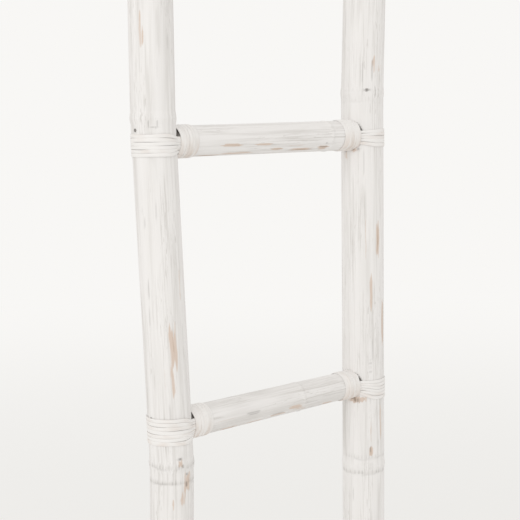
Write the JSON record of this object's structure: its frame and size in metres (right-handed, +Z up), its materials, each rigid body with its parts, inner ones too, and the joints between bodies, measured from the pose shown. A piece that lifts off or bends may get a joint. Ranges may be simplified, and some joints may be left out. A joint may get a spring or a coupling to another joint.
{
  "type": "ladder rack",
  "caption": "Leaning blanket ladder of two whitewashed bamboo poles joined by round bamboo rungs with flat cane bindings at each joint.",
  "frame": {"origin": "on the floor, midway between the two pole feet", "axes": "+Z up along the poles, +X along the rungs to the viewer's right, -Y towards the viewer"},
  "size_m": [0.4151, 0.063, 1.5],
  "materials": {
    "whitewashed_culm": "thin chalky white paint rubbed back to the tan bamboo in streaks",
    "whitewashed_rung": "thin chalky white paint, worn along the underside",
    "cane_binding": "flat split cane painted white, satin",
    "plug_wood": "bare softwood",
    "screw_steel": "zinc plated",
    "tack_steel": "small tack, painted over"
  },
  "bodies": {
    "root": {"left_collar_binding_1": "cane_binding", "left_collar_binding_2": "cane_binding", "left_collar_binding_3": "cane_binding", "left_collar_binding_4": "cane_binding", "left_plug_1": "plug_wood", "left_plug_2": "plug_wood", "left_plug_3": "plug_wood", "left_plug_4": "plug_wood", "left_pole": "whitewashed_culm", "left_saddle_binding_1": "cane_binding", "left_saddle_binding_2": "cane_binding", "left_saddle_binding_3": "cane_binding", "left_saddle_binding_4": "cane_binding", "left_screw_1": "screw_steel", "left_screw_2": "screw_steel", "left_screw_3": "screw_steel", "left_screw_4": "screw_steel", "left_tack_1": "tack_steel", "left_tack_2": "tack_steel", "left_tack_3": "tack_steel", "left_tack_4": "tack_steel", "right_collar_binding_1": "cane_binding", "right_collar_binding_2": "cane_binding", "right_collar_binding_3": "cane_binding", "right_collar_binding_4": "cane_binding", "right_plug_1": "plug_wood", "right_plug_2": "plug_wood", "right_plug_3": "plug_wood", "right_plug_4": "plug_wood", "right_pole": "whitewashed_culm", "right_saddle_binding_1": "cane_binding", "right_saddle_binding_2": "cane_binding", "right_saddle_binding_3": "cane_binding", "right_saddle_binding_4": "cane_binding", "right_screw_1": "screw_steel", "right_screw_2": "screw_steel", "right_screw_3": "screw_steel", "right_screw_4": "screw_steel", "right_tack_1": "tack_steel", "right_tack_2": "tack_steel", "right_tack_3": "tack_steel", "right_tack_4": "tack_steel", "rung_1": "whitewashed_rung", "rung_2": "whitewashed_rung", "rung_3": "whitewashed_rung", "rung_4": "whitewashed_rung"}
  },
  "joints": []
}
